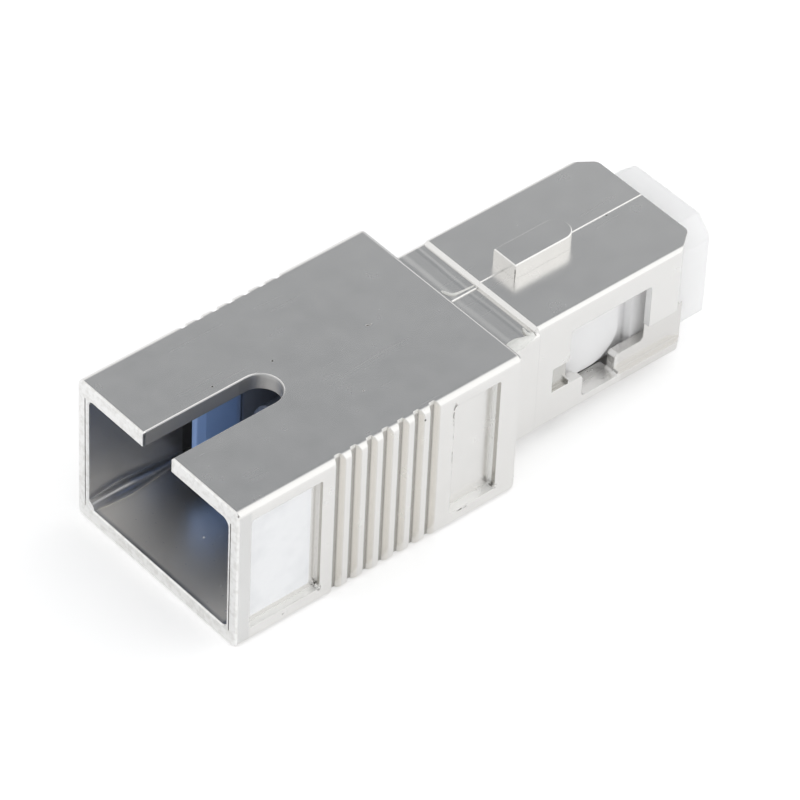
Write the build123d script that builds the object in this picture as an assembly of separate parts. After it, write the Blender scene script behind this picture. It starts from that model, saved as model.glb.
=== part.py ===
from build123d import *
import os

# Push-pull fibre attenuator in a nickel-plated die-cast case: a socket at one end and a plug at the other.
# Millimetres. X runs along the optical axis from the socket mouth to the plug tip, Y across, Z up.
# The origin is under the middle of the case on the plane that it rests on.

# Socket housing, outside
housing_length = 18.6
housing_width = 12.75
housing_height = 9.3
housing_edge_radius = 0.4
housing_end_break = 0.1

# Socket housing, mouth and cavity
mouth_width = 11.1
mouth_corner_radius = 0.4
mouth_break = 0.08
bottom_wall = 0.9
top_wall = 0.98
rear_wall = 1.2
lip_line_width = 0.07
lip_line_depth = 0.3
lip_line_inset = 0.22

# Key slot in the top wall
slot_width = 2.3
slot_length = 7.8
slot_break = 0.07

# Grip grooves on both sides
groove_count = 7
groove_pitch = 1.03
groove_start = 6.58
groove_mouth = 0.69
groove_floor = 0.33
groove_depth = 0.4

# Shallow pockets on both sides
front_pocket_start = 0.85
front_pocket_length = 4.58
front_pocket_depth = 0.37
rear_pocket_start = 14.08
rear_pocket_length = 3.1
rear_pocket_depth = 0.5
pocket_height = 7.45
pocket_lift = 1.0
pocket_corner_radius = 0.15

# Blank label in the front pocket of the near side
label_width = 4.0
label_height = 6.8
label_thickness = 0.1
label_margin = 0.06
label_drop = 0.15
label_corner_radius = 0.12

# Plug shell, outside
plug_width = 8.95
plug_height = 7.35
plug_length = 11.45
plug_edge_radius = 0.3
plug_rear_bevel = 0.2
tip_bevel_length = 1.3
tip_bevel_depth = 0.95
tip_foot_length = 1.05
tip_foot_depth = 0.78
tip_foot_top = 0.65
tip_corner_radius = 0.5
tip_chin_radius = 1.4
neck_width = 9.2
neck_length = 2.65
neck_top_drop = 0.25
neck_bottom_rise = 0.08
neck_edge_radius = 0.3
neck_seam_step = 0.08
collar_side_play = 0.1
collar_height_play = 0.11
collar_thickness = 1.2
neck_fit = 0.02
seam_groove = 0.05
seam_place = 0.1

# Key on the plug
key_start = 1.7
key_length = 4.4
key_width = 1.7
key_height = 0.97
key_edge_break = 0.06

# Plug shell, inside
shell_side_wall = 0.42
shell_top_wall = 0.35
shell_bore = 4.6
frame_travel = 1.2
ledge_length = 0.7
ledge_height = 0.32
cheek_play = 0.06

# Side windows of the plug shell: along the axis from the plug's rear end, up and down from the axis
window_start = 2.55
window_end = 8.2
window_above = 2.2
window_below = 2.95
window_corner_radius = 0.25
notch_start = 1.4
notch_above = -0.15
notch_below = 1.46
notch_end = 3.6
sill_start = 6.2
sill_below = 1.8
notch_depth = 0.25
foot_recess = 0.35

# Locating pins across the seam of the two shell halves
pin_diameter = 0.8
pin_length = 4.0
pin_offset = 2.95
pin_place = 0.75

# Latch insert of the socket
insert_flange_thickness = 1.25
insert_fit = 0.05
insert_corner_radius = 0.35
arm_gap = 6.7
arm_thickness = 0.4
arm_height = 3.2
arm_length = 8.5
hook_gap = 6.4
hook_length = 3.05
hook_lead = 0.55
hook_back = 0.25
arm_tip_radius = 0.14
arm_root_radius = 0.4
nub_width = 3.0
nub_height = 0.2
nub_length = 0.7

# Alignment sleeve and its seats
sleeve_length = 11.4
sleeve_outer = 3.3
sleeve_slit = 0.5
sleeve_play = 0.05
barrel_outer = 4.5
barrel_lip = 0.45
barrel_mouth = 2.75
barrel_lead = 0.2
retainer_flange_thickness = 1.2
contact_depth = 0.3

# Ferrule with the attenuating fibre
ferrule_diameter = 2.5
ferrule_slide = 0.03
ferrule_projection = 0.5
ferrule_chamfer = 0.3
fibre_diameter = 0.125
fibre_fit = 0.002

# Ferrule flange and spring
flange_diameter = 4.1
flange_thickness = 1.35
flange_seat_cone = 0.35
flange_tail = 2.5
flange_tail_diameter = 3.0
flange_slot_width = 0.7
flange_slot_depth = 0.45
flange_play = 0.05
spring_wire = 0.35
spring_coil = 3.65
spring_turns = 4.0
spring_wire_sides = 6
spring_play = 0.02
stop_thickness = 1.2
stop_bore = 2.9
stop_inset = 0.1

# Plug frame
frame_play = 0.06
frame_rear_gap = 0.1
frame_collar_thickness = 1.3
frame_bore = 4.3
core_half_width = 2.95
core_half_height = 2.92
pad_half_width = 3.42
pad_above = 2.9
pad_below = 2.8
pad_round_top = 1.7
pad_round_bottom = 2.3
pad_edge_break = 0.4
catch_gap = 0.4
nose_projection = 2.1
nose_length = 5.8
nose_width = 7.0
nose_top_chamfer = 1.1
nose_bottom_chamfer = 0.4
nose_bevel = 0.4
nose_bore = 5.0
nose_bore_depth = 5.5
nose_bore_lead = 0.35
frame_wall = 0.9
frame_wall_bore = 3.2

# Places that follow from the sizes above
mouth_height = housing_height - bottom_wall - top_wall
axis_z = bottom_wall + mouth_height / 2
rear_wall_face = housing_length - rear_wall
collar_face = rear_wall_face - collar_thickness
collar_width = mouth_width - 2 * collar_side_play
collar_height = mouth_height - 2 * collar_height_play
retainer_face = collar_face - retainer_flange_thickness
insert_face = retainer_face - insert_flange_thickness
contact_plane = insert_face + contact_depth
plug_start = housing_length + neck_length
plug_end = plug_start + plug_length
plug_top = axis_z + plug_height / 2
plug_sole = axis_z - plug_height / 2
nose_front = plug_end + nose_projection
frame_rear = plug_start + frame_rear_gap
flange_seat = nose_front - nose_bore_depth - frame_wall
ferrule_tip = nose_front + ferrule_projection
sleeve_start = contact_plane - sleeve_length / 2
sleeve_end = contact_plane + sleeve_length / 2
stop_face = frame_rear + stop_inset + stop_thickness


def across(x, y=0.0, z=axis_z):
    """Plane across the optical axis, looking towards the plug tip: local x along Y, local y along Z."""
    return Plane(origin=(x, y, z), x_dir=(0, 1, 0), z_dir=(1, 0, 0))


def bar(section, x_from, x_to, z=axis_z):
    """Prism of a section across the axis, between two places along it."""
    return extrude(across(x_from, z=z) * section, x_to - x_from)


def rod(diameter, x_from, x_to):
    """Round bar on the optical axis."""
    return bar(Circle(diameter / 2), x_from, x_to)


def block(x_from, x_to, y_from, y_to, z_from, z_to):
    """Plain cutter between two corners."""
    size = (x_to - x_from, y_to - y_from, z_to - z_from)
    middle = ((x_to + x_from) / 2, (y_to + y_from) / 2, (z_to + z_from) / 2)
    return Pos(*middle) * Box(*size)


def side_cut(side, y, outline, depth):
    """Cut of an outline drawn in X and Z, inwards from one side."""
    plane = Plane(origin=(0, side * y, 0), x_dir=(1, 0, 0), z_dir=(0, -1, 0))
    return extrude(plane * outline, side * depth)


def tip_plan(length, depth):
    """Plan of the plug with bevelled and rounded tip corners."""
    half = plug_width / 2
    corners = (
        (plug_start, -half),
        (plug_end - length, -half),
        (plug_end, depth - half),
        (plug_end, half - depth),
        (plug_end - length, half),
        (plug_start, half),
    )
    outline = Polygon(*corners, align=None)
    rounded = outline.vertices().filter_by_position(Axis.X, plug_end - length, plug_end)
    return fillet(rounded, tip_corner_radius)


# Sections across the axis
neck_height = plug_height - neck_top_drop - neck_bottom_rise
neck_centre = axis_z + (neck_bottom_rise - neck_top_drop) / 2
housing_section = RectangleRounded(housing_width, housing_height, housing_edge_radius)
mouth_section = RectangleRounded(mouth_width, mouth_height, mouth_corner_radius)
neck_section = RectangleRounded(neck_width, neck_height, neck_edge_radius)
opening_width = neck_width + 2 * neck_fit
opening_height = neck_height + 2 * neck_fit
neck_opening = RectangleRounded(opening_width, opening_height, neck_edge_radius + neck_fit)

# Socket housing: one casting with the mouth, the cavity and the rear wall that holds the neck
housing = bar(housing_section, 0, housing_length, housing_height / 2)
end_faces = housing.faces().sort_by(Axis.X)
housing = chamfer(end_faces[0].edges() + end_faces[-1].edges(), housing_end_break)
housing -= bar(mouth_section, 0, rear_wall_face)
mouth_edges = housing.faces().sort_by(Axis.X)[0].inner_wires()[0].edges()
housing = chamfer(mouth_edges, mouth_break)
housing -= bar(neck_opening, rear_wall_face, housing_length, neck_centre)

# Key slot with a full round end
slot_centre = slot_length - slot_width / 2
slot_plan = Pos(slot_centre / 2, 0) * Rectangle(slot_centre, slot_width)
slot_plan += Pos(slot_centre, 0) * Circle(slot_width / 2)
housing -= extrude(Pos(0, 0, axis_z) * slot_plan, housing_height)
top_edges = housing.faces().sort_by(Axis.Z)[-1].edges()
slot_edges = top_edges.filter_by(lambda edge: abs(edge.center().Y) < slot_width)
slot_edges = slot_edges.filter_by(lambda edge: edge.center().X > slot_width / 2)
housing = chamfer(slot_edges, slot_break)

# Grip grooves, cut over the full height on both sides
half_mouth = groove_mouth / 2
half_floor = groove_floor / 2
groove_plan = Polygon(
    (-half_mouth, 0),
    (-half_floor, -groove_depth),
    (half_floor, -groove_depth),
    (half_mouth, 0),
    align=None,
)
for index in range(groove_count):
    groove_x = groove_start + index * groove_pitch
    for turn, side in ((0, 1), (180, -1)):
        place = Pos(groove_x, side * housing_width / 2, 0) * Rot(0, 0, turn)
        housing -= place * extrude(groove_plan, housing_height)

# Shallow pockets, the same on both sides
pocket_z = pocket_lift + pocket_height / 2
for start, length, depth in (
    (front_pocket_start, front_pocket_length, front_pocket_depth),
    (rear_pocket_start, rear_pocket_length, rear_pocket_depth),
):
    pocket = RectangleRounded(length, pocket_height, pocket_corner_radius)
    pocket = Pos(start + length / 2, pocket_z) * pocket
    for side in (1, -1):
        housing -= side_cut(side, housing_width / 2, pocket, depth)

# Fine line that parts the inner lip from the side walls at the mouth
lip_line_y = mouth_width / 2 + lip_line_inset
for side in (1, -1):
    y_from = side * lip_line_y - lip_line_width / 2
    y_to = y_from + lip_line_width
    housing -= block(0, lip_line_depth, y_from, y_to, bottom_wall, bottom_wall + mouth_height)

# Latch insert: flange, barrel for the sleeve and two latch arms with hooks
insert_width = mouth_width - 2 * insert_fit
insert_height = mouth_height - 2 * insert_fit
insert_section = RectangleRounded(insert_width, insert_height, insert_corner_radius)
barrel_front = sleeve_start - sleeve_play - barrel_lip
sleeve_seat = sleeve_outer + 2 * sleeve_play
latch_insert = bar(insert_section, insert_face, retainer_face)
latch_insert += rod(barrel_outer, barrel_front, insert_face)
latch_insert -= rod(sleeve_seat, sleeve_start - sleeve_play, retainer_face)
latch_insert -= rod(barrel_mouth, barrel_front, sleeve_start)
barrel_rims = latch_insert.faces().sort_by(Axis.X)[0].edges()
latch_insert = chamfer(barrel_rims, barrel_lead)
arm_tip = insert_face - arm_length
arm_inner = arm_gap / 2
arm_outer = arm_inner + arm_thickness
hook_inner = hook_gap / 2
arm_plan = Polygon(
    (insert_face, arm_inner),
    (insert_face, arm_outer),
    (arm_tip, arm_outer),
    (arm_tip, arm_inner),
    (arm_tip + hook_lead, hook_inner),
    (arm_tip + hook_length - hook_back, hook_inner),
    (arm_tip + hook_length, arm_inner),
    align=None,
)
arm = extrude(Pos(0, 0, axis_z - arm_height / 2) * arm_plan, arm_height)
arm_tips = arm.edges().filter_by(Axis.Z).filter_by_position(Axis.X, arm_tip, arm_tip)
arm = fillet(arm_tips, arm_tip_radius)
latch_insert += arm
latch_insert += mirror(arm, Plane.XZ)
root_edges = latch_insert.edges().filter_by(Axis.Z).filter_by_position(Axis.X, insert_face, insert_face)
root_edges = root_edges.filter_by(lambda edge: abs(abs(edge.center().Y) - arm_inner) < 0.01)
latch_insert = fillet(root_edges, arm_root_radius)

# Snap nubs on the insert and their recesses in the housing
nub_profile = Polygon((0, 0), (nub_length, 0), (nub_length, nub_height), align=None)
for turn in (0, 180):
    seat = Pos(0, 0, axis_z) * Rot(turn, 0, 0)
    nub_x = insert_face + (insert_flange_thickness - nub_length) / 2
    nub_z = mouth_height / 2 - insert_fit
    nub_plane = Plane(origin=(nub_x, nub_width / 2, nub_z), x_dir=(1, 0, 0), z_dir=(0, -1, 0))
    nub = extrude(nub_plane * nub_profile, nub_width)
    latch_insert += seat * nub
    recess_top = nub_z + nub_height + insert_fit
    recess_half = nub_width / 2 + insert_fit
    recess_end = nub_x + nub_length + insert_fit
    recess = block(nub_x - insert_fit, recess_end, -recess_half, recess_half, nub_z, recess_top)
    housing -= seat * recess

# Retainer: closes the insert and carries the rear half of the sleeve
retainer_end = sleeve_end + sleeve_play + barrel_lip
sleeve_retainer = bar(insert_section, retainer_face, collar_face)
sleeve_retainer += rod(barrel_outer, collar_face, retainer_end)
sleeve_retainer -= rod(sleeve_seat, retainer_face, sleeve_end + sleeve_play)
sleeve_retainer -= rod(barrel_mouth, sleeve_end, retainer_end)

# Split sleeve
sleeve_bore = ferrule_diameter + 2 * ferrule_slide
alignment_sleeve = rod(sleeve_outer, sleeve_start, sleeve_end) - rod(sleeve_bore, sleeve_start, sleeve_end)
slit_half = sleeve_slit / 2
alignment_sleeve -= block(sleeve_start, sleeve_end, -slit_half, slit_half, axis_z - sleeve_outer, axis_z)

# Plug shell: rounded bar with bevelled tip corners, the neck and the collar that the housing traps
plug_section = RectangleRounded(plug_width, plug_height, plug_edge_radius)
shell = bar(plug_section, plug_start, plug_end)
rear_edges = shell.edges().filter_by_position(Axis.X, plug_start, plug_start)
shell = chamfer(rear_edges, plug_rear_bevel)
foot_top = axis_z - tip_foot_top
upper_plan = tip_plan(tip_bevel_length, tip_bevel_depth)
upper_tip = extrude(Pos(0, 0, foot_top) * upper_plan, housing_height - foot_top)
lower_tip = extrude(tip_plan(tip_foot_length, tip_foot_depth), foot_top)
shell &= upper_tip + lower_tip
side_profile = Pos((plug_start + plug_end) / 2, axis_z) * Rectangle(plug_length, plug_height)
chin = side_profile.vertices().group_by(Axis.X)[-1].sort_by(Axis.Y)[0]
side_profile = fillet(chin, tip_chin_radius)
side_plane = Plane(origin=(0, plug_width / 2, 0), x_dir=(1, 0, 0), z_dir=(0, -1, 0))
shell &= extrude(side_plane * side_profile, plug_width)
shell += bar(neck_section, rear_wall_face, plug_start + plug_rear_bevel, neck_centre)
collar_outline = RectangleRounded(collar_width, collar_height, insert_corner_radius)
shell += bar(collar_outline, collar_face, rear_wall_face)

# Inside of the plug shell: bore for the retainer, cavity for the frame and two ledges that stop the frame
cavity_width = plug_width - 2 * shell_side_wall
cavity_height = plug_height - 2 * shell_top_wall
cavity_section = RectangleRounded(cavity_width, cavity_height, plug_edge_radius)
shell -= rod(shell_bore, collar_face, plug_start)
shell -= bar(cavity_section, plug_start, plug_end)
ledge_start = frame_rear + frame_collar_thickness + frame_travel + frame_rear_gap
ledge_end = ledge_start + ledge_length
for level in (axis_z + cavity_height / 2 - ledge_height, axis_z - cavity_height / 2):
    shell += block(ledge_start, ledge_end, -cavity_width / 2, cavity_width / 2, level, level + ledge_height)

# Cheeks: thicker side walls below the windows, beside the path of the frame's nose
cheek_inner = nose_width / 2 + cheek_play
cheek_end = plug_end - tip_bevel_length
for y_from, y_to in ((cheek_inner, cavity_width / 2), (-cavity_width / 2, -cheek_inner)):
    shell += block(ledge_start, cheek_end, y_from, y_to, axis_z - cavity_height / 2, axis_z - sill_below)

# Side windows, the same on both sides, each with a shallow notch behind it and a step back along its foot
window_corners = (
    (notch_end, -window_below),
    (sill_start, -window_below),
    (sill_start, -sill_below),
    (window_end, -sill_below),
    (window_end, window_above),
    (window_start, window_above),
    (window_start, -notch_below),
    (notch_end, -notch_below),
)
window_outline = Polygon(*window_corners, align=None)
window_outline = fillet(window_outline.vertices(), window_corner_radius)
notch_middle = ((notch_start + window_start) / 2, -(notch_above + notch_below) / 2)
notch_outline = Pos(*notch_middle) * Rectangle(window_start - notch_start, notch_below - notch_above)
recess_length = plug_length - sill_start
recess_middle = (sill_start + recess_length / 2, -(window_below + tip_foot_top) / 2)
recess_outline = Pos(*recess_middle) * Rectangle(recess_length, window_below - tip_foot_top)
for outline, depth in (
    (window_outline, plug_width / 2 - cheek_inner),
    (notch_outline, notch_depth),
    (recess_outline, foot_recess),
):
    outline = Pos(plug_start, axis_z) * outline
    for side in (1, -1):
        shell -= side_cut(side, plug_width / 2, outline, depth)

# The two halves of the shell meet just past the middle plane, with a fine groove along the joint
seam_end = plug_end + 1
near_half = block(collar_face - 1, seam_end, -housing_width, seam_place, -1, housing_height + 1)
far_half = block(collar_face - 1, seam_end, seam_place, housing_width, -1, housing_height + 1)
seam_profile = Polygon((-seam_groove, 0), (0, -seam_groove), (seam_groove, 0), align=None)
for level, x_from, x_to, turn in (
    (plug_top, plug_start, plug_end, 0),
    (axis_z - plug_height / 2, plug_start, plug_end, 180),
    (plug_top - neck_top_drop, housing_length, plug_start, 0),
):
    shell -= Pos(0, seam_place, level) * (Rot(turn, 0, 0) * bar(seam_profile, x_from, x_to, 0))
plug_shell_near = shell & near_half
plug_shell_far = shell & far_half
step_level = plug_top - neck_top_drop - neck_seam_step
plug_shell_near -= block(housing_length, plug_start, -housing_width / 2, seam_place, step_level, plug_top)

# Key: cast on the far half, it bridges the joint
key_x = plug_start + key_start
key_round = key_x + key_length - key_width / 2
key_plan = Pos((key_x + key_round) / 2, 0) * Rectangle(key_round - key_x, key_width)
key_plan += Pos(key_round, 0) * Circle(key_width / 2)
key = extrude(Pos(0, 0, plug_top) * key_plan, key_height)
key = chamfer(key.faces().sort_by(Axis.Z)[-1].edges(), key_edge_break)
far_side = Pos(key_x, seam_place + housing_width / 2) * Rectangle(4 * key_length, housing_width)
foot = extrude(Pos(0, 0, plug_top - seam_groove) * (key_plan & far_side), seam_groove)
plug_shell_far += key + foot

# Locating pins between the shell halves, above and below the bore
pin_x = rear_wall_face + pin_place
pins = []
for level in (axis_z + pin_offset, axis_z - pin_offset):
    pin_plane = Plane(origin=(pin_x, -pin_length / 2, level), x_dir=(1, 0, 0), z_dir=(0, 1, 0))
    pin = extrude(pin_plane * Circle(pin_diameter / 2), pin_length)
    plug_shell_near -= pin
    plug_shell_far -= pin
    pins.append(pin)

# Plug frame: guide collar, waist for the hooks of a mating socket and the nose
collar_across = cavity_width - 2 * frame_play
nose_height = cavity_height - 2 * frame_play
collar_section = RectangleRounded(collar_across, nose_height, plug_edge_radius)
nose_rear = nose_front - nose_length
nose_rect = Rectangle(nose_width, nose_height)
nose_section = chamfer(nose_rect.vertices().sort_by(Axis.Y)[:2], nose_bottom_chamfer)
nose_section = chamfer(nose_section.vertices().group_by(Axis.Y)[-1], nose_top_chamfer)
plug_frame = bar(collar_section, frame_rear, frame_rear + frame_collar_thickness)
pad_end = nose_rear - catch_gap
plug_frame += bar(Rectangle(2 * core_half_width, 2 * core_half_height), frame_rear, nose_rear)
pad_rear = frame_rear + frame_collar_thickness
pad_middle = Pos((pad_rear + pad_end) / 2, axis_z + (pad_above - pad_below) / 2)
pad_rect = pad_middle * Rectangle(pad_end - pad_rear, pad_above + pad_below)
pad_outline = fillet(pad_rect.vertices().group_by(Axis.X)[-1].sort_by(Axis.Y)[0], pad_round_bottom)
pad_outline = fillet(pad_outline.vertices().group_by(Axis.Y)[-1].sort_by(Axis.X)[-1], pad_round_top)
pad_plane = Plane(origin=(0, pad_half_width, 0), x_dir=(1, 0, 0), z_dir=(0, -1, 0))
pad = extrude(pad_plane * pad_outline, 2 * pad_half_width)
pad_rims = pad.faces().sort_by(Axis.Y)[0].edges() + pad.faces().sort_by(Axis.Y)[-1].edges()
pad_rims = pad_rims.filter_by(lambda edge: edge.center().X > pad_rear + pad_edge_break)
plug_frame += chamfer(pad_rims, pad_edge_break)
nose = bar(nose_section, nose_rear, nose_front)
nose = chamfer(nose.faces().sort_by(Axis.X)[-1].edges(), nose_bevel)
plug_frame += nose
plug_frame -= rod(frame_bore, frame_rear, flange_seat)
plug_frame -= rod(frame_wall_bore, flange_seat, nose_front)
plug_frame -= rod(nose_bore, nose_front - nose_bore_depth, nose_front)
bore_rim = plug_frame.faces().sort_by(Axis.X)[-1].inner_wires()[0].edges()
plug_frame = chamfer(bore_rim, nose_bore_lead)

# Spring stop pressed into the rear of the frame
spring_stop = rod(frame_bore, frame_rear + stop_inset, stop_face) - rod(stop_bore, frame_rear, stop_face)

# Ferrule flange: head with two key slots, seat cone at the front and a tail inside the spring
flange_front = flange_seat - flange_play
flange_rear = flange_front - flange_thickness
head = rod(flange_diameter, flange_rear, flange_front)
head = chamfer(head.faces().sort_by(Axis.X)[-1].edges(), flange_seat_cone)
slot_bottom = axis_z - flange_slot_width / 2
slot_roof = axis_z + flange_slot_width / 2
slot_floor = flange_diameter / 2 - flange_slot_depth
for y_from, y_to in ((slot_floor, flange_diameter / 2), (-flange_diameter / 2, -slot_floor)):
    head -= block(flange_rear, flange_front, y_from, y_to, slot_bottom, slot_roof)
ferrule_flange = head + rod(flange_tail_diameter, flange_rear - flange_tail, flange_rear)
ferrule_flange -= rod(ferrule_diameter, flange_rear - flange_tail, flange_front)

# Long ferrule with the attenuating fibre on its axis
ferrule = rod(ferrule_diameter, contact_plane, ferrule_tip)
ferrule_ends = ferrule.faces().sort_by(Axis.X)
ferrule = chamfer(ferrule_ends[0].edges() + ferrule_ends[-1].edges(), ferrule_chamfer)
ferrule -= rod(fibre_diameter + 2 * fibre_fit, contact_plane, ferrule_tip)
attenuating_fibre = rod(fibre_diameter, contact_plane, ferrule_tip)

# Coil spring between the stop and the flange head
coil_from = stop_face + spring_wire / 2 + spring_play
coil_to = flange_rear - spring_wire / 2 - spring_play
coil_height = coil_to - coil_from
coil_path = across(coil_from) * Helix(coil_height / spring_turns, coil_height, spring_coil / 2)
coil_start = Plane(origin=coil_path @ 0, z_dir=coil_path % 0)
wire_section = RegularPolygon(spring_wire / 2, spring_wire_sides)
ferrule_spring = sweep(coil_start * wire_section, coil_path, is_frenet=True)

# Blank label on the floor of the near front pocket
label_x = front_pocket_start + label_margin + label_width / 2
label_z = pocket_lift + pocket_height - label_drop - label_height / 2
label_face = -(housing_width / 2 - front_pocket_depth)
label_plane = Plane(origin=(label_x, label_face, label_z), x_dir=(1, 0, 0), z_dir=(0, -1, 0))
label_outline = RectangleRounded(label_width, label_height, label_corner_radius)
label = extrude(label_plane * label_outline, label_thickness)

# One STEP file for each piece, moved so that the origin is under the middle of the case
pieces = {
    "housing": housing,
    "label": label,
    "latch_insert": latch_insert,
    "sleeve_retainer": sleeve_retainer,
    "alignment_sleeve": alignment_sleeve,
    "plug_shell_near": plug_shell_near,
    "plug_shell_far": plug_shell_far,
    "locating_pin_top": pins[0],
    "locating_pin_bottom": pins[1],
    "plug_frame": plug_frame,
    "spring_stop": spring_stop,
    "ferrule_spring": ferrule_spring,
    "ferrule_flange": ferrule_flange,
    "ferrule": ferrule,
    "attenuating_fibre": attenuating_fibre,
}
os.makedirs("parts", exist_ok=True)
middle_x = ferrule_tip / 2
for name, shape in pieces.items():
    export_step(Pos(-middle_x, 0, 0) * shape, "parts/" + name + ".step")
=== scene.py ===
import math
import random

import bmesh
import bpy
from mathutils import Matrix, Vector


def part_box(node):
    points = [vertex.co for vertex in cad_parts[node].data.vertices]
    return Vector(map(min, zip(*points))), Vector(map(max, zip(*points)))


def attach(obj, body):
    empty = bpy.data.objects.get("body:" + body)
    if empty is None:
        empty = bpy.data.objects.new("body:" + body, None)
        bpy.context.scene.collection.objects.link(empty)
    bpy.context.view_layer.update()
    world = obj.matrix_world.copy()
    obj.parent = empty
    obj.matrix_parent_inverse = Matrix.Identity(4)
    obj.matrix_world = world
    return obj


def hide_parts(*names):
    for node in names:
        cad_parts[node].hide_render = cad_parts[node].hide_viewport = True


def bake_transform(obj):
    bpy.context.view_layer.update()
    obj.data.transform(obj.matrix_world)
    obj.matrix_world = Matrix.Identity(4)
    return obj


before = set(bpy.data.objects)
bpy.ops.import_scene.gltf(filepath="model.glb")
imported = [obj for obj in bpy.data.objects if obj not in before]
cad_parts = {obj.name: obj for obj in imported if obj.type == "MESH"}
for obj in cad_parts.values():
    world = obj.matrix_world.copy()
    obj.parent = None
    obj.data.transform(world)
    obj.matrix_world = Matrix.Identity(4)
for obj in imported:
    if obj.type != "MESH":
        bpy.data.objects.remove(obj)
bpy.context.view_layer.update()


# Socket housing. One zinc casting, plated with nickel. Its flat faces are smooth and satin from the die and
# the plating, with a faint waviness, hairline handling scratches and a few dark pin holes. Shade is painted
# in where walls meet. The plug's two shell halves are cast and plated in the same way and share the surface.
def srgb(code):
    """Linear colour of an sRGB hex code."""
    parts = [int(code[place:place + 2], 16) / 255 for place in (1, 3, 5)]
    return [part / 12.92 if part <= 0.04045 else ((part + 0.055) / 1.055) ** 2.4 for part in parts] + [1.0]


def feed(tree, node, inputs):
    """Puts a number, a colour or another node's output on each input that is named."""
    for name, value in inputs.items():
        if isinstance(value, bpy.types.NodeSocket):
            tree.links.new(value, node.inputs[name])
        else:
            node.inputs[name].default_value = value


def add(tree, kind, inputs=None, **settings):
    """Adds one node with its settings and what its inputs are fed with."""
    node = tree.nodes.new(kind)
    for name, value in settings.items():
        setattr(node, name, value)
    feed(tree, node, inputs or {})
    return node


def start(name):
    """New material with its node tree, its shader and a point in millimetres on the piece."""
    made = bpy.data.materials.new(name)
    made.use_nodes = True
    tree = made.node_tree
    shader = tree.nodes["Principled BSDF"]
    place = add(tree, "ShaderNodeTexCoord").outputs["Object"]
    point = add(tree, "ShaderNodeVectorMath", {0: place, 3: 1000.0}, operation="SCALE").outputs[0]
    return made, tree, shader, point


def coat(node_name, material):
    """Gives a solid its surface."""
    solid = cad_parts[node_name]
    solid.data.materials.clear()
    solid.data.materials.append(material)


nickel, tree, shader, point = start("nickel_plated_zinc_casting")
x_mm, y_mm, z_mm = add(tree, "ShaderNodeSeparateXYZ", {0: point}).outputs
side_mm = add(tree, "ShaderNodeMath", {0: y_mm}, operation="ABSOLUTE").outputs[0]
# Slow waviness of the casting skin, about 3 mm from crest to crest
wave = add(tree, "ShaderNodeTexNoise", {"Vector": point, "Scale": 0.34, "Detail": 1.0}).outputs[0]
# Grain of the plating, drawn at 0.12 mm so that it shows in the render
grain = add(tree, "ShaderNodeTexNoise", {"Vector": point, "Scale": 8.0, "Detail": 3.0}).outputs[0]
# Soft cloudy stains of 1 to 2 mm where the plating dried
cloud = add(tree, "ShaderNodeTexNoise",
            {"Vector": point, "Scale": 0.7, "Detail": 4.0, "Roughness": 0.6}).outputs[0]
# Hairline scratches: noise stretched to lines 0.03 mm wide that turn slowly, kept only where a patch was
# rubbed
bend = add(tree, "ShaderNodeTexNoise", {"Vector": point, "Scale": 0.16}).outputs[1]
curl = add(tree, "ShaderNodeVectorMath", {0: bend, 1: (0.8, 0.8, 0.8), 2: point},
           operation="MULTIPLY_ADD").outputs[0]
slim = add(tree, "ShaderNodeMapping",
           {"Vector": curl, "Rotation": (0.3, 0.2, 0.5), "Scale": (0.12, 14.0, 0.12)}).outputs[0]
hair = add(tree, "ShaderNodeTexNoise", {"Vector": slim, "Scale": 1.0, "Detail": 0.0}).outputs[0]
line = add(tree, "ShaderNodeMapRange", {"Value": hair, "From Min": 0.75, "From Max": 0.83}).outputs[0]
rubs = add(tree, "ShaderNodeTexNoise", {"Vector": point, "Scale": 0.3, "Detail": 0.0}).outputs[0]
patch = add(tree, "ShaderNodeMapRange", {"Value": rubs, "From Min": 0.58, "From Max": 0.68}).outputs[0]
scratch = add(tree, "ShaderNodeMath", {0: line, 1: patch}, operation="MULTIPLY").outputs[0]
# Pin holes up to 0.1 mm and grains of pale dust, both few and far between, and closer grit for the socket's
# floor. Each kind has its cells to the millimetre, how rare it is among them and its widest reach.
spots = []
for density, rarest, widest in ((0.55, 0.55, 0.045), (0.42, 0.35, 0.03), (3.2, 0.30, 0.18)):
    cells = add(tree, "ShaderNodeTexVoronoi", {"Vector": point, "Scale": density}).outputs
    chance = add(tree, "ShaderNodeSeparateColor", {"Color": cells["Color"]}).outputs[0]
    reach = add(tree, "ShaderNodeMapRange",
                {"Value": chance, "From Min": rarest, "From Max": 1.0, "To Max": widest}).outputs[0]
    inner = add(tree, "ShaderNodeMath", {0: reach, 1: cells["Distance"]}, operation="SUBTRACT").outputs[0]
    spots.append(add(tree, "ShaderNodeMapRange",
                     {"Value": inner, "From Min": -0.004, "From Max": 0.008}).outputs[0])
pinhole, dust, grit = spots
# Painted shade where two walls meet, from an occlusion test, broken up by the stains and weaker on the plug
corner = add(tree, "ShaderNodeAmbientOcclusion", {"Distance": 0.00035}, samples=4).outputs["AO"]
met = add(tree, "ShaderNodeMapRange", {"Value": corner, "From Min": 0.48, "From Max": 0.20}).outputs[0]
wiped = add(tree, "ShaderNodeMapRange",
            {"Value": x_mm, "From Min": 3.4, "From Max": 4.2, "To Min": 0.5, "To Max": 0.12}).outputs[0]
soil = add(tree, "ShaderNodeMath", {0: met, 1: cloud}, operation="MULTIPLY").outputs[0]
soil = add(tree, "ShaderNodeMath", {0: soil, 1: wiped}, operation="MULTIPLY").outputs[0]
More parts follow.
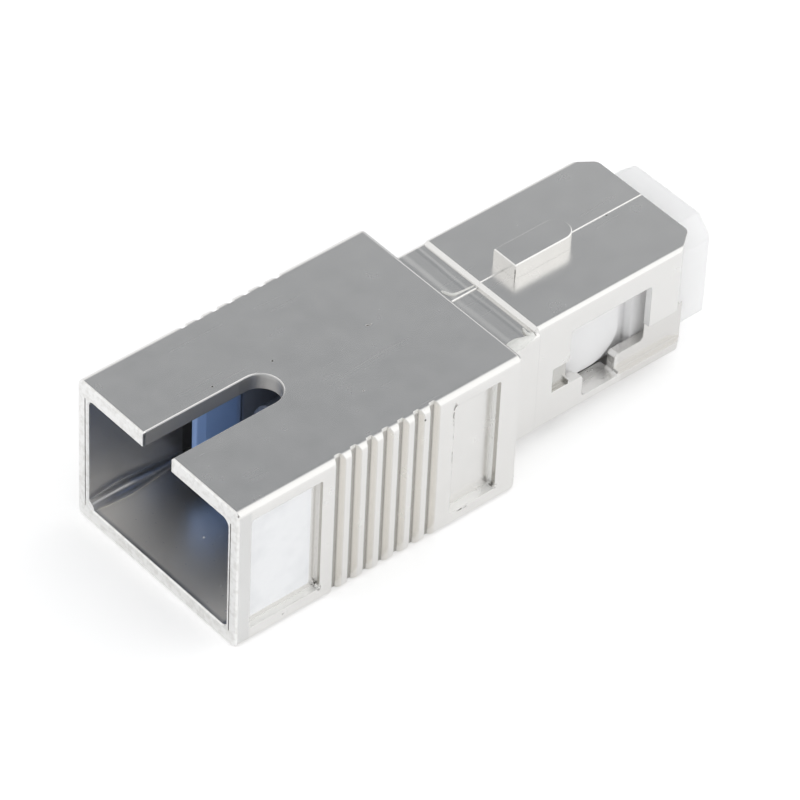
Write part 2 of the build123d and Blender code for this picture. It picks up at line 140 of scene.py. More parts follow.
# Marks that can be seen on this one: caked dirt in the pockets' ends, nicks at the mouth, on the key and on
# top. Each has its centre and its reach in millimetres, and is broken up into crumbs.
crumbs = add(tree, "ShaderNodeTexNoise", {"Vector": point, "Scale": 3.2, "Detail": 2.0}).outputs[0]
chatter = add(tree, "ShaderNodeTexNoise", {"Vector": point, "Scale": 5.5, "Detail": 3.0}).outputs[0]
broken = add(tree, "ShaderNodeMapRange", {"Value": crumbs, "From Min": 0.46, "From Max": 0.53}).outputs[0]
marks = 0.0
for centre, spread in (
    ((-3.52, -6.30, 7.9), (0.20, 0.5, 0.9)),
    ((-3.50, -6.30, 5.6), (0.14, 0.5, 2.4)),
    ((-2.60, -6.38, 0.88), (0.5, 0.2, 0.07)),
    ((-0.42, -6.10, 1.1), (0.20, 0.4, 0.26)),
    ((-12.26, -6.15, 1.05), (0.20, 0.4, 0.30)),
    ((-14.5, -6.38, 0.62), (0.22, 0.2, 0.09)),
    ((-17.60, -6.20, 9.05), (0.12, 0.25, 0.22)),
    ((5.30, -0.85, 8.8), (0.05, 0.05, 0.7)),
    ((-3.60, 0.35, 9.30), (0.22, 0.10, 0.1)),
    ((-7.01, -3.28, 9.30), (0.09, 0.06, 0.1)),
    ((3.50, -4.25, 8.10), (0.12, 0.22, 0.12)),
):
    away = add(tree, "ShaderNodeVectorMath", {0: point, 1: centre}, operation="SUBTRACT").outputs[0]
    share = add(tree, "ShaderNodeVectorMath", {0: away, 1: spread}, operation="DIVIDE").outputs[0]
    length = add(tree, "ShaderNodeVectorMath", {0: share}, operation="LENGTH").outputs["Value"]
    mark = add(tree, "ShaderNodeMapRange", {"Value": length, "From Min": 1.0, "From Max": 0.6}).outputs[0]
    marks = add(tree, "ShaderNodeMath", {0: mark, 1: marks}, operation="MAXIMUM").outputs[0]
caked = add(tree, "ShaderNodeMath", {0: marks, 1: broken}, operation="MULTIPLY").outputs[0]
# Regions of the casting, each the overlap of a few slabs. Every slab gives a measure and the two places
# between which it fades in. The slabs that several regions share are named first.
side_skin = (side_mm, 6.365, 6.35)
groove_rows = ((x_mm, -11.50, -11.45), (x_mm, -4.40, -4.45), (z_mm, 9.10, 8.98))
front_pocket_end = ((x_mm, -12.30, -12.25), (x_mm, -12.12, -12.18))
rear_pocket_end = ((x_mm, -0.56, -0.51), (x_mm, -0.38, -0.44))
pocket_foot = (z_mm, 1.2, 1.3)
pocket_top = (z_mm, 8.47, 8.44)
pocket_sill = ((z_mm, 1.08, 1.03), (z_mm, 0.92, 0.97), (side_mm, 6.37, 6.355), (side_mm, 5.8, 5.86))
regions = {}
for region, slabs in (
    # The walls of the cavity stay as they left the die, duller than the tumbled outside
    ("cavity", ((side_mm, 5.75, 5.60), (z_mm, 8.50, 8.35), (z_mm, 0.80, 0.88), (x_mm, -0.2, -0.3))),
    # The grooves' walls are a little yellow, and their deep parts are painted grey: painted shade in the
    # grooves
    ("walls", ((side_mm, 6.365, 6.33), *groove_rows)),
    ("grooves", ((side_mm, 6.05, 5.99), *groove_rows)),
    # The outer halves of the pockets' rear walls and the notches behind the plug's windows are painted grey:
    # painted shade on walls and in recesses
    ("front_wall", ((side_mm, 6.15, 6.19), side_skin, *front_pocket_end, pocket_foot, pocket_top)),
    ("rear_wall", ((side_mm, 6.08, 6.14), side_skin, *rear_pocket_end, pocket_foot, pocket_top)),
    ("notch", ((side_mm, 4.46, 4.42), (x_mm, 4.96, 5.02), (x_mm, 6.25, 6.15), (z_mm, 4.55, 4.47))),
    # Pale powder from packing stays in the rear pocket's deep corner and on the pockets' sills
    ("rear_inner", ((side_mm, 6.12, 6.07), *rear_pocket_end, pocket_top)),
    ("front_sill", (*pocket_sill, (x_mm, -12.10, -12.20))),
    ("rear_sill", (*pocket_sill, (x_mm, -3.70, -3.60))),
    # The walls of the slot are rough bare die skin, and are painted darker grey: painted shade in the slot
    ("slot", ((side_mm, 1.30, 1.25), (z_mm, 8.30, 8.36), (z_mm, 9.29, 9.26), (x_mm, -9.60, -9.70),
              (x_mm, -17.5, -17.4))),
    # The front walls of the windows are matt from the trimming die, and are painted near white and partly
    # non-metal: painted light on walls in shade
    ("window_wall", ((side_mm, 4.46, 4.43), (side_mm, 3.45, 3.5), (x_mm, 11.70, 11.76), (x_mm, 11.92, 11.86),
                     (z_mm, 3.9, 4.0), (z_mm, 6.92, 6.88))),
    # The rim of the mouth is rubbed bright by plugs
    ("rim", ((x_mm, -17.52, -17.58),)),
    # The margins next to the mouth are duller from fingers
    ("margin", ((side_mm, 6.355, 6.37), (x_mm, -16.7, -16.9), (x_mm, -17.62, -17.58))),
    # The rear rim's edge is painted dark grey: painted shade in place of its highlight
    ("rear_rim", ((x_mm, 0.80, 0.86), (x_mm, 1.0, 0.96), (z_mm, 9.12, 9.18))),
    # The bevel behind the plug was filed
    ("bevel", ((x_mm, 3.58, 3.61), (x_mm, 3.86, 3.81), (z_mm, 7.9, 8.0))),
    # Grit lies on the cavity's floor
    ("floor", ((z_mm, 1.0, 0.93), (z_mm, 0.84, 0.88), (side_mm, 5.3, 5.0), (x_mm, -17.5, -17.3),
               (x_mm, -8.0, -9.0))),
    # The foot of the plug's tip is painted a little darker: painted shade under the tip's overhang
    ("foot", ((x_mm, 9.9, 10.1), (side_mm, 3.4, 3.6), (z_mm, 3.99, 3.93))),
):
    overlap = 1.0
    for measure, edge, full in slabs:
        slab = add(tree, "ShaderNodeMapRange",
                   {"Value": measure, "From Min": edge, "From Max": full}).outputs[0]
        overlap = add(tree, "ShaderNodeMath", {0: slab, 1: overlap}, operation="MULTIPLY").outputs[0]
    regions[region] = overlap
grit = add(tree, "ShaderNodeMath", {0: grit, 1: regions["floor"]}, operation="MULTIPLY").outputs[0]
grit = add(tree, "ShaderNodeMath", {0: grit, 1: broken}, operation="MULTIPLY").outputs[0]
# A thin film of dust on the cavity's floor, thickest at the mouth
film = add(tree, "ShaderNodeMapRange", {"Value": x_mm, "From Min": -13.0, "From Max": -17.2}).outputs[0]
film = add(tree, "ShaderNodeMath", {0: film, 1: regions["floor"]}, operation="MULTIPLY").outputs[0]
# Shallow dents that mottle the rim
dent = add(tree, "ShaderNodeMapRange", {"Value": crumbs, "From Min": 0.55, "From Max": 0.35}).outputs[0]
dent = add(tree, "ShaderNodeMath", {0: dent, 1: regions["rim"]}, operation="MULTIPLY").outputs[0]
# Colour: the plating, then each region, each kind of dirt and the painted shade over it
shade = add(tree, "ShaderNodeMix", {0: cloud, 6: srgb("#e8e7e5"), 7: srgb("#efeeec")},
            data_type="RGBA").outputs[2]
for amount, strength, colour in (
    (regions["cavity"], 0.7, "#dcdcde"),
    (regions["floor"], 0.9, "#fffcf6"),
    (regions["walls"], 0.5, "#f3f0ea"),
    # Painted shade in the grooves' deep parts
    (regions["grooves"], 0.9, "#b4b2af"),
    (regions["rear_inner"], 0.9, "#fbfbf9"),
    (regions["front_sill"], 0.9, "#fbfbf9"),
    (regions["rear_sill"], 0.9, "#fbfbf9"),
    # Painted shade on the pockets' rear walls and in the notches
    (regions["front_wall"], 0.8, "#bab7b1"),
    (regions["rear_wall"], 0.8, "#bab7b1"),
    (regions["notch"], 0.8, "#c6c5c1"),
    # Painted shade on the slot's walls
    (regions["slot"], 0.8, "#b8b8b8"),
    (regions["margin"], 0.8, "#dddddc"),
    # Painted light on the windows' front walls
    (regions["window_wall"], 0.8, "#fcfcfc"),
    # Painted shade on the foot of the plug's tip
    (regions["foot"], 0.5, "#dad8d5"),
    # Painted shade on the rear rim's edge
    (regions["rear_rim"], 0.8, "#8f8f90"),
    (regions["rim"], 0.7, "#fbfbfa"),
    (dent, 0.5, "#dcdbd7"),
    # Painted shade where walls meet
    (soil, 1.0, "#5f5a52"),
    (caked, 0.8, "#5a5650"),
    (pinhole, 1.0, "#4a4743"),
    (dust, 1.0, "#ffffff"),
    (grit, 0.9, "#d3d4d6"),
):
    part = add(tree, "ShaderNodeMath", {0: amount, 1: strength}, operation="MULTIPLY").outputs[0]
    shade = add(tree, "ShaderNodeMix", {0: part, 6: shade, 7: srgb(colour)}, data_type="RGBA").outputs[2]
# Dust, grit and powder are not metal, and the windows' front walls are made partly non-metal as painted light
bare = 1.0
for amount, strength in (
    (dust, -1.0),
    (grit, -0.8),
    (film, -0.25),
    (regions["window_wall"], -0.5),
    (regions["rear_inner"], -0.7),
    (regions["front_sill"], -0.6),
    (regions["rear_sill"], -0.6),
):
    bare = add(tree, "ShaderNodeMath", {0: amount, 1: strength, 2: bare},
               operation="MULTIPLY_ADD", use_clamp=True).outputs[0]
# The plating is satin, and dirt and blank die skin are rougher
gloss = add(tree, "ShaderNodeMapRange", {"Value": cloud, "To Min": 0.24, "To Max": 0.29}).outputs[0]
for amount, strength in (
    (regions["cavity"], 0.03),
    (regions["window_wall"], 0.3),
    (regions["rim"], 0.1),
    (regions["slot"], 0.25),
    (scratch, 0.03),
    (soil, 0.3),
    (caked, 0.4),
    (dust, 0.5),
    (grit, 0.5),
):
    gloss = add(tree, "ShaderNodeMath", {0: amount, 1: strength, 2: gloss},
                operation="MULTIPLY_ADD").outputs[0]
# Sharp edges are broken by tumbling, about 0.03 mm
normal = add(tree, "ShaderNodeBevel", {"Radius": 0.00003}, samples=4).outputs[0]
# Two low flow lines run round the neck, where the metal met its ejector ring in the die. Each has its place
# along the neck, its reach and its height.
along = add(tree, "ShaderNodeMath", {0: wave, 1: 0.2, 2: x_mm}, operation="MULTIPLY_ADD").outputs[0]
top_only = add(tree, "ShaderNodeMapRange", {"Value": z_mm, "From Min": 7.88, "From Max": 7.98}).outputs[0]
ridges = 0.0
for place, reach, full in ((2.08, 0.42, 1.0), (3.18, 0.20, 0.45)):
    off = add(tree, "ShaderNodeMath", {0: along, 1: place}, operation="SUBTRACT").outputs[0]
    near = add(tree, "ShaderNodeMath", {0: off}, operation="ABSOLUTE").outputs[0]
    ridge = add(tree, "ShaderNodeMapRange",
                {"Value": near, "From Min": reach, "From Max": 0.0, "To Max": full},
                interpolation_type="SMOOTHSTEP").outputs[0]
    ridges = add(tree, "ShaderNodeMath", {0: ridges, 1: ridge}, operation="ADD").outputs[0]
ridges = add(tree, "ShaderNodeMath", {0: ridges, 1: top_only}, operation="MULTIPLY").outputs[0]
# The rim, the filed bevel and the slot's walls are a little uneven
rubbed = add(tree, "ShaderNodeMath", {0: regions["rim"], 1: regions["bevel"]}, operation="MAXIMUM").outputs[0]
rubbed = add(tree, "ShaderNodeMath", {0: rubbed, 1: regions["slot"]}, operation="MAXIMUM").outputs[0]
rubbed = add(tree, "ShaderNodeMath", {0: rubbed, 1: 0.35}, operation="MULTIPLY").outputs[0]
for height, strength, distance, sunk in (
    (wave, 0.18, 0.00006, False),
    (ridges, 0.32, 0.00005, False),
    (chatter, rubbed, 0.00003, False),
    (grain, 0.05, 0.000003, False),
    (scratch, 0.01, 0.000004, True),
    (pinhole, 0.8, 0.00003, True),
    (caked, 0.6, 0.00002, False),
):
    normal = add(tree, "ShaderNodeBump",
                 {"Height": height, "Strength": strength, "Distance": distance, "Normal": normal},
                 invert=sunk).outputs[0]
feed(tree, shader, {"Base Color": shade, "Metallic": bare, "Roughness": gloss, "Normal": normal})
coat("housing", nickel)


# Flash in the socket. Zinc that squeezed past the core into the cavity's far lower corner, a wavy bead that
# fades out towards the rear. It was cast and plated with the housing, so it shines as the walls do.
def loft(name, rings, material, smooth=True):
    """Piece skinned over rings of points in metres and closed at both ends."""
    shape = bmesh.new()
    rows = [[shape.verts.new(spot) for spot in ring] for ring in rings]
    for row, later in zip(rows, rows[1:]):
        for place in range(len(row)):
            other = (place + 1) % len(row)
            shape.faces.new((row[place], row[other], later[other], later[place]))
    shape.faces.new(rows[0][::-1])
    shape.faces.new(rows[-1])
    bmesh.ops.recalc_face_normals(shape, faces=shape.faces)
    for face in shape.faces:
        face.smooth = smooth
    mesh = bpy.data.meshes.new(name)
    shape.to_mesh(mesh)
    shape.free()
    mesh.materials.append(material)
    piece = bpy.data.objects.new(name, mesh)
    bpy.context.scene.collection.objects.link(piece)
    return piece


def bead(name, spine, ragged, material, seed):
    """Irregular bead of metal along a line of points, each with its own reach in millimetres."""
    sides = 12
    chance = random.Random(seed)
    rings = []
    for place, (x, y, z, reach) in enumerate(spine):
        before = Vector(spine[max(place - 1, 0)][:3])
        after = Vector(spine[min(place + 1, len(spine) - 1)][:3])
        turn = (after - before).to_track_quat("X", "Z")
        ring = []
        for side in range(sides):
            angle = 2 * math.pi * side / sides
            rough = reach * chance.uniform(1.0 - ragged, 1.0 + ragged)
            spot = Vector((x, y, z)) + turn @ Vector((0.0, rough * math.cos(angle), rough * math.sin(angle)))
            ring.append(spot / 1000)
        rings.append(ring)
    piece = loft(name, rings, material)
    soften = piece.modifiers.new("soften", "SUBSURF")
    soften.levels = 2
    soften.render_levels = 2
    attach(piece, "case")


corner_y = 5.58
corner_z = 0.87
corner_bead = []
for x, reach in (
    (-17.60, 0.48), (-17.598, 0.48), (-17.59, 0.48), (-17.2, 0.56), (-16.6, 0.64), (-15.9, 0.71),
    (-15.3, 0.74), (-14.7, 0.71), (-14.1, 0.64), (-13.5, 0.57), (-12.9, 0.50), (-12.3, 0.46),
    (-11.5, 0.41), (-10.7, 0.36), (-9.9, 0.30), (-9.1, 0.24),
):
    corner_bead.append((x, corner_y, corner_z, reach))
bead("cavity_flash", corner_bead, ragged=0.035, material=nickel, seed=11)


# Latch insert and its retainer. Two mouldings in blue PBT that hold the sleeve in the socket. PBT comes from
# the mould even and slightly waxy, with a soft sheen on the flats and the tool's fine texture.
blue, tree, shader, point = start("moulded_blue_pbt")
flow = add(tree, "ShaderNodeTexNoise", {"Vector": point, "Scale": 0.8, "Detail": 2.0}).outputs[0]
texture = add(tree, "ShaderNodeTexNoise", {"Vector": point, "Scale": 12.0, "Detail": 2.0}).outputs[0]
tint = add(tree, "ShaderNodeMix", {0: flow, 6: srgb("#85a7e0"), 7: srgb("#93b4ea")},
           data_type="RGBA").outputs[2]
# Where an occlusion test finds the moulding closed in deep in the socket, it is painted darker: painted shade
open_sky = add(tree, "ShaderNodeAmbientOcclusion", {"Distance": 0.003}, samples=6).outputs["AO"]
hidden = add(tree, "ShaderNodeMapRange", {"Value": open_sky, "From Min": 0.32, "From Max": 0.06}).outputs[0]
tint = add(tree, "ShaderNodeMix", {0: hidden, 6: tint, 7: srgb("#4a5a7c")}, data_type="RGBA").outputs[2]
# The flange and the barrel, behind and between the arms, are painted grey: painted shade deep in the socket
x_mm, y_mm, z_mm = add(tree, "ShaderNodeSeparateXYZ", {0: point}).outputs
side_mm = add(tree, "ShaderNodeMath", {0: y_mm}, operation="ABSOLUTE").outputs[0]
behind = add(tree, "ShaderNodeMapRange", {"Value": x_mm, "From Min": -9.9, "From Max": -9.2}).outputs[0]
between = add(tree, "ShaderNodeMapRange", {"Value": side_mm, "From Min": 2.9, "From Max": 2.5}).outputs[0]
dusty = add(tree, "ShaderNodeMath", {0: behind, 1: between}, operation="MAXIMUM").outputs[0]
dusty = add(tree, "ShaderNodeMath", {0: dusty, 1: 0.85}, operation="MULTIPLY").outputs[0]
tint = add(tree, "ShaderNodeMix", {0: dusty, 6: tint, 7: srgb("#82868f")}, data_type="RGBA").outputs[2]
gloss = add(tree, "ShaderNodeMapRange", {"Value": texture, "To Min": 0.24, "To Max": 0.36}).outputs[0]
skin = add(tree, "ShaderNodeBump", {"Height": texture, "Strength": 0.3, "Distance": 0.000004}).outputs[0]
feed(tree, shader, {"Base Color": tint, "Roughness": gloss, "Normal": skin})
for name in ("latch_insert", "sleeve_retainer"):
    coat(name, blue)


# Split alignment sleeve and ferrule. Both are zirconia, ground and lapped to a shine: an off-white, slightly
# translucent ceramic in which only the finest grinding rings show.
zirconia, tree, shader, point = start("lapped_zirconia")
body = add(tree, "ShaderNodeTexNoise", {"Vector": point, "Scale": 1.5, "Detail": 2.0}).outputs[0]
rings = add(tree, "ShaderNodeTexWave", {"Vector": point, "Scale": 6.0, "Distortion": 0.4},
            bands_direction="X").outputs[1]
tint = add(tree, "ShaderNodeMix", {0: body, 6: srgb("#f1eee6"), 7: srgb("#f7f5ef")},
           data_type="RGBA").outputs[2]
gloss = add(tree, "ShaderNodeMapRange", {"Value": rings, "To Min": 0.10, "To Max": 0.16}).outputs[0]
lap = add(tree, "ShaderNodeBump", {"Height": rings, "Strength": 0.1, "Distance": 0.000002}).outputs[0]
feed(tree, shader, {"Base Color": tint, "Roughness": gloss, "Normal": lap, "IOR": 2.1})
for name in ("alignment_sleeve", "ferrule"):
    coat(name, zirconia)


# Plug shell. Two thin halves of the same plated casting as the housing, drawn together on the middle plane
# and held by two ground steel pins.
for name in ("plug_shell_near", "plug_shell_far"):
    coat(name, nickel)


# Flash on the neck's seam. A fine line of zinc that squeezed out of the die's joint and was torn off, so it
# is lumpy, matt and pale.
torn, tree, shader, point = start("torn_zinc_flash")
lump = add(tree, "ShaderNodeTexNoise", {"Vector": point, "Scale": 5.0, "Detail": 3.0}).outputs[0]
tint = add(tree, "ShaderNodeMix", {0: lump, 6: srgb("#d9d9d5"), 7: srgb("#f8f8f5")},
           data_type="RGBA").outputs[2]
gloss = add(tree, "ShaderNodeMapRange", {"Value": lump, "To Min": 0.4, "To Max": 0.6}).outputs[0]
skin = add(tree, "ShaderNodeBump", {"Height": lump, "Strength": 0.5, "Distance": 0.00004}).outputs[0]
feed(tree, shader, {"Base Color": tint, "Metallic": 0.2, "Roughness": gloss, "Normal": skin})
seam_spine = (
    (3.62, 0.31, 8.03, 0.05), (3.2, 0.34, 8.03, 0.07), (2.8, 0.36, 8.03, 0.06), (2.4, 0.40, 8.03, 0.08),
    (2.15, 0.46, 8.03, 0.10), (2.02, 0.75, 8.02, 0.11), (1.94, 1.1, 8.01, 0.06),
)
bead("seam_flash", seam_spine, ragged=0.15, material=torn, seed=5)


# Window sills. The foot of each side window runs on inwards as a thin cast lip under the frame. It was
# plated with the shell and shines like it.
sill_rear = 7.22
sill_front = 9.80
sill_steps = 8
sill_profile = ((3.60, 1.40), (3.60, 1.645), (3.05, 1.635), (3.0, 1.60), (3.0, 1.40))
for side, hand in ((-1, "near"), (1, "far")):
    rings = []
    for step in range(sill_steps + 1):
        x = sill_rear + (sill_front - sill_rear) * step / sill_steps
        rings.append([(x / 1000, side * y / 1000, z / 1000) for y, z in sill_profile])
    lip = loft("window_sill_" + hand, rings, nickel, smooth=False)
    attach(lip, "case")


# Flash on the neck's near edge. A broad lump of the same torn zinc lies along the edge, and a burr runs on
# from it across the top.
edge_spine = (
    (1.7, -4.33, 7.84, 0.20), (2.0, -4.30, 7.86, 0.31), (2.4, -4.30, 7.84, 0.36), (2.75, -4.34, 7.82, 0.31),
    (3.05, -4.38, 7.82, 0.24), (3.35, -4.36, 7.88, 0.22), (3.62, -4.34, 7.92, 0.18),
)
bead("neck_flash", edge_spine, ragged=0.12, material=torn, seed=8)
burr_spine = (
    (3.38, -3.66, 8.02, 0.03), (3.33, -3.85, 8.03, 0.07), (3.23, -4.08, 8.04, 0.10),
    (3.27, -4.30, 8.04, 0.12), (3.55, -4.36, 8.03, 0.11),
)
bead("neck_burr", burr_spine, ragged=0.2, material=torn, seed=3)


# Plug frame. One moulding in white PBT that slides in the shell. It is matt and dense, a touch blue from its
# brightener, and scatters the light softly in its thin edges.
white, tree, shader, point = start("moulded_white_pbt")
flow = add(tree, "ShaderNodeTexNoise", {"Vector": point, "Scale": 0.6, "Detail": 3.0}).outputs[0]
texture = add(tree, "ShaderNodeTexNoise", {"Vector": point, "Scale": 10.0, "Detail": 2.0}).outputs[0]
tint = add(tree, "ShaderNodeMix", {0: flow, 6: srgb("#f9f9fa"), 7: srgb("#fdfdfd")},
           data_type="RGBA").outputs[2]
gloss = add(tree, "ShaderNodeMapRange", {"Value": texture, "To Min": 0.42, "To Max": 0.55}).outputs[0]
# The mould's edges leave soft rounds of 0.3 mm
soft = add(tree, "ShaderNodeBevel", {"Radius": 0.0003}, samples=4).outputs[0]
skin = add(tree, "ShaderNodeBump",
           {"Height": texture, "Strength": 0.3, "Distance": 0.000005, "Normal": soft}).outputs[0]
feed(tree, shader, {"Base Color": tint, "Roughness": gloss, "Normal": skin, "Subsurface Weight": 0.6,
                    "Subsurface Scale": 0.0016, "Subsurface Radius": (1.0, 1.0, 1.0)})
coat("plug_frame", white)


# Pins, spring stop and flange. Small parts turned from stainless steel, so they are bright and fine rings
# from the tool run round them.
steel, tree, shader, point = start("turned_stainless_steel")
rings = add(tree, "ShaderNodeTexWave", {"Vector": point, "Scale": 5.0, "Distortion": 0.6},
            bands_direction="X").outputs[1]
grain = add(tree, "ShaderNodeTexNoise", {"Vector": point, "Scale": 6.0, "Detail": 2.0}).outputs[0]
tint = add(tree, "ShaderNodeMix", {0: grain, 6: srgb("#c4c3c0"), 7: srgb("#d4d3d0")},
           data_type="RGBA").outputs[2]
gloss = add(tree, "ShaderNodeMapRange", {"Value": rings, "To Min": 0.2, "To Max": 0.34}).outputs[0]
tool = add(tree, "ShaderNodeBump", {"Height": rings, "Strength": 0.3, "Distance": 0.000004}).outputs[0]
feed(tree, shader, {"Base Color": tint, "Metallic": 1.0, "Roughness": gloss, "Normal": tool})
for name in ("locating_pin_top", "locating_pin_bottom", "spring_stop", "ferrule_flange"):
    coat(name, steel)


# Ferrule spring. Hard-drawn stainless wire, bright and finely streaked, wound with a closed coil at each end.
# It shortens when the ferrule is pushed in, so it is wound here in place of the frame's rigid one, from the
# frame's stop to the flange.
drawn, tree, shader, point = start("hard_drawn_stainless_wire")
streak = add(tree, "ShaderNodeTexNoise", {"Vector": point, "Scale": 7.0, "Detail": 2.0}).outputs[0]
tint = add(tree, "ShaderNodeMix", {0: streak, 6: srgb("#b4b3b0"), 7: srgb("#cac9c6")},
           data_type="RGBA").outputs[2]
gloss = add(tree, "ShaderNodeMapRange", {"Value": streak, "To Min": 0.22, "To Max": 0.34}).outputs[0]
feed(tree, shader, {"Base Color": tint, "Metallic": 1.0, "Roughness": gloss})
wire_radius = 0.17
coil_radius = 1.80
coil_rear = 5.20
coil_front = 9.15
closed_pitch = 0.36
active_turns = 4
steps_a_turn = 32
wire_sides = 10
active_pitch = (coil_front - coil_rear - 2 * closed_pitch) / active_turns
low_corner, high_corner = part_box("ferrule_spring")
axis_z = (low_corner[2] + high_corner[2]) / 2 * 1000
rings = []
for step in range((active_turns + 2) * steps_a_turn + 1):
    turns = step / steps_a_turn
    wound = min(max(turns - 1, 0), active_turns)
    x = coil_rear + wound * active_pitch + (turns - wound) * closed_pitch
    angle = 2 * math.pi * turns
    ring = []
    for side in range(wire_sides):
        around = 2 * math.pi * side / wire_sides
        reach = coil_radius + wire_radius * math.cos(around)
        along_x = x + wire_radius * math.sin(around)
        above = axis_z + reach * math.sin(angle)
        ring.append((along_x / 1000, reach * math.cos(angle) / 1000, above / 1000))
    rings.append(ring)
coil = loft("wound_spring", rings, drawn)
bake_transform(coil)
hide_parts("ferrule_spring")


# Attenuating fibre. A silica fibre bonded in the ferrule's bore and polished flush with its ends. It is clear
# with a faint blue-grey from its doped core.
silica, tree, shader, point = start("polished_silica_fibre")
dope = add(tree, "ShaderNodeTexNoise", {"Vector": point, "Scale": 4.0, "Detail": 1.0}).outputs[0]
tint = add(tree, "ShaderNodeMix", {0: dope, 6: srgb("#e4e8ec"), 7: srgb("#f2f5f8")},
           data_type="RGBA").outputs[2]
gloss = add(tree, "ShaderNodeMapRange", {"Value": dope, "To Min": 0.02, "To Max": 0.06}).outputs[0]
feed(tree, shader, {"Base Color": tint, "Roughness": gloss, "IOR": 1.46, "Transmission Weight": 0.8})
coat("attenuating_fibre", silica)


# Label. A die-cut piece of coated white paper on the pocket's floor. It is blank, with faint fibres in the
# paper and a smudge from handling.
paper, tree, shader, point = start("coated_label_paper")
fibres = add(tree, "ShaderNodeTexNoise",
             {"Vector": point, "Scale": 5.0, "Detail": 4.0, "Roughness": 0.7}).outputs[0]
smudge = add(tree, "ShaderNodeTexNoise", {"Vector": point, "Scale": 0.55, "Detail": 2.0}).outputs[0]
touched = add(tree, "ShaderNodeMapRange",
              {"Value": smudge, "From Min": 0.5, "From Max": 0.75, "To Max": 0.5}).outputs[0]
tint = add(tree, "ShaderNodeMix", {0: fibres, 6: srgb("#f0f1f3"), 7: srgb("#f6f7f8")},
           data_type="RGBA").outputs[2]
tint = add(tree, "ShaderNodeMix", {0: touched, 6: tint, 7: srgb("#e2e4e6")}, data_type="RGBA").outputs[2]
gloss = add(tree, "ShaderNodeMapRange", {"Value": fibres, "To Min": 0.5, "To Max": 0.65}).outputs[0]
lay = add(tree, "ShaderNodeBump", {"Height": fibres, "Strength": 0.25, "Distance": 0.000006}).outputs[0]
feed(tree, shader, {"Base Color": tint, "Roughness": gloss, "Normal": lay})
coat("label", paper)


# Table. The part lies on a white laminate top, matt and faintly mottled. It is lifted a little for the camera
# and for mirrored rays, so that it stays white and keeps the part's shadow.
table_half = 0.6
table_steps = 8
shape = bmesh.new()
bmesh.ops.create_grid(shape, x_segments=table_steps, y_segments=table_steps, size=table_half)
top = bpy.data.meshes.new("table_top")
shape.to_mesh(top)
shape.free()
table = bpy.data.objects.new("table_top", top)
bpy.context.scene.collection.objects.link(table)
laminate, tree, shader, point = start("white_laminate")
mottle = add(tree, "ShaderNodeTexNoise", {"Vector": point, "Scale": 0.02, "Detail": 2.0}).outputs[0]
tint = add(tree, "ShaderNodeMix", {0: mottle, 6: srgb("#fbfbfb"), 7: srgb("#fefefe")},
           data_type="RGBA").outputs[2]
seen = add(tree, "ShaderNodeLightPath").outputs
mirrored = add(tree, "ShaderNodeMath", {0: seen["Is Transmission Ray"], 1: seen["Is Glossy Ray"]},
               operation="MAXIMUM").outputs[0]
lift = add(tree, "ShaderNodeMath", {0: mirrored, 1: 0.12}, operation="MULTIPLY").outputs[0]
lift = add(tree, "ShaderNodeMath", {0: seen["Is Camera Ray"], 1: 0.25, 2: lift},
           operation="MULTIPLY_ADD").outputs[0]
feed(tree, shader, {"Base Color": tint, "Roughness": 0.9, "Specular IOR Level": 0.0,
                    "Emission Color": (1.0, 1.0, 1.0, 1.0), "Emission Strength": lift})
top.materials.append(laminate)


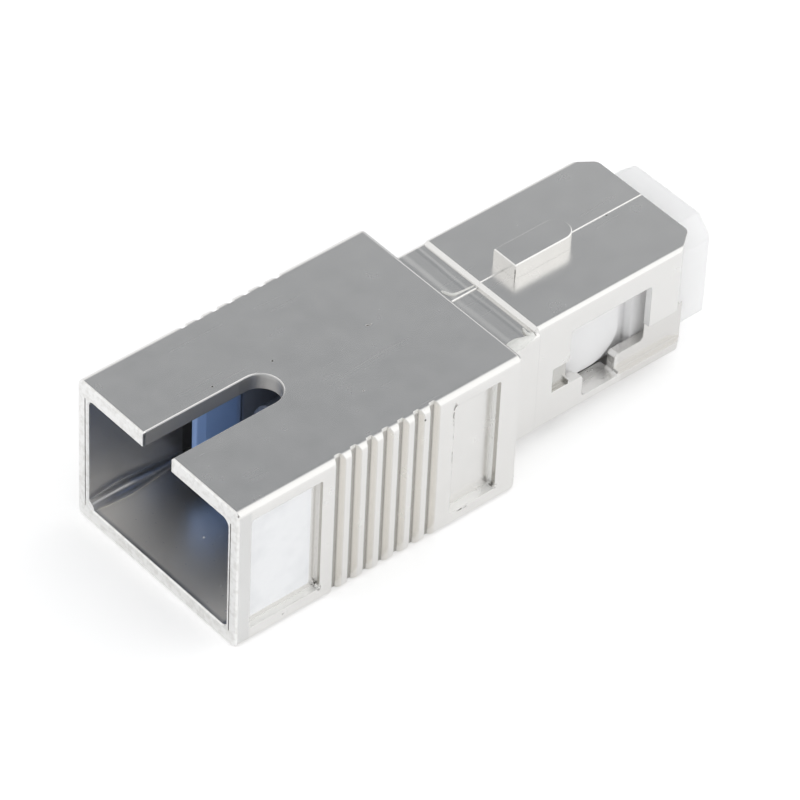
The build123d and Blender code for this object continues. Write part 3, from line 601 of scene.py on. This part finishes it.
# Light. A white tent with a grey card behind the part and one behind the camera, half way up, which is what
# the plated top faces mirror. The tent is a little brighter on the right, where the lamp stands behind it.
world = bpy.data.worlds.new("white_room")
bpy.context.scene.world = world
world.use_nodes = True
tree = world.node_tree
tree.nodes.clear()
way = add(tree, "ShaderNodeTexCoord").outputs["Generated"]
card = (0.3778, 0.4503, 0.8090)
opposite_card = (-card[0], -card[1], card[2])
card_edge = math.cos(math.radians(30))
card_core = math.cos(math.radians(9))
facing = add(tree, "ShaderNodeVectorMath", {0: way, 1: card}, operation="DOT_PRODUCT").outputs["Value"]
opposite = add(tree, "ShaderNodeVectorMath", {0: way, 1: opposite_card},
               operation="DOT_PRODUCT").outputs["Value"]
nearest = add(tree, "ShaderNodeMath", {0: facing, 1: opposite}, operation="MAXIMUM").outputs[0]
shade = add(tree, "ShaderNodeMapRange",
            {"Value": nearest, "From Min": card_edge, "From Max": card_core}).outputs[0]
bright_side = (0.68, -0.68, 0.27)
right = add(tree, "ShaderNodeVectorMath", {0: way, 1: bright_side}, operation="DOT_PRODUCT").outputs["Value"]
glow = add(tree, "ShaderNodeMapRange", {"Value": right, "From Min": 0.3, "From Max": 0.9}).outputs[0]
tent = add(tree, "ShaderNodeMix", {0: glow, 6: (1.0, 1.0, 1.0, 1.0), 7: (1.22, 1.22, 1.22, 1.0)},
           data_type="RGBA").outputs[2]
room = add(tree, "ShaderNodeMix", {0: shade, 6: tent, 7: (0.234, 0.246, 0.262, 1.0)},
           data_type="RGBA").outputs[2]
sky = add(tree, "ShaderNodeBackground", {"Color": room, "Strength": 1.0}).outputs[0]
add(tree, "ShaderNodeOutputWorld", {"Surface": sky})

lamp_data = bpy.data.lights.new("soft_lamp", "SUN")
lamp_data.energy = 0.1
lamp_data.angle = math.radians(40)
lamp = bpy.data.objects.new("soft_lamp", lamp_data)
lamp_stand = Vector((-0.4, -0.5, 0.77))
lamp.rotation_euler = lamp_stand.to_track_quat("Z", "Y").to_euler()
bpy.context.scene.collection.objects.link(lamp)


# Camera. A long lens from above the socket end, placed by a fit to the photograph's edges.
eye = Vector((-0.14040392, -0.15135724, 0.19303266))
aim = Vector((-0.00259064, -0.00117270, 0.0046))
roll = math.radians(2.893)
camera_data = bpy.data.cameras.new("camera")
camera_data.lens = 243.38
camera_data.sensor_width = 36.0
camera_data.clip_start = 0.01
camera = bpy.data.objects.new("camera", camera_data)
turn = (aim - eye).to_track_quat("-Z", "Y").to_matrix().to_4x4() @ Matrix.Rotation(roll, 4, "Z")
camera.matrix_world = Matrix.Translation(eye) @ turn
bpy.context.scene.collection.objects.link(camera)
bpy.context.scene.camera = camera
bpy.context.scene.view_settings.view_transform = "Standard"
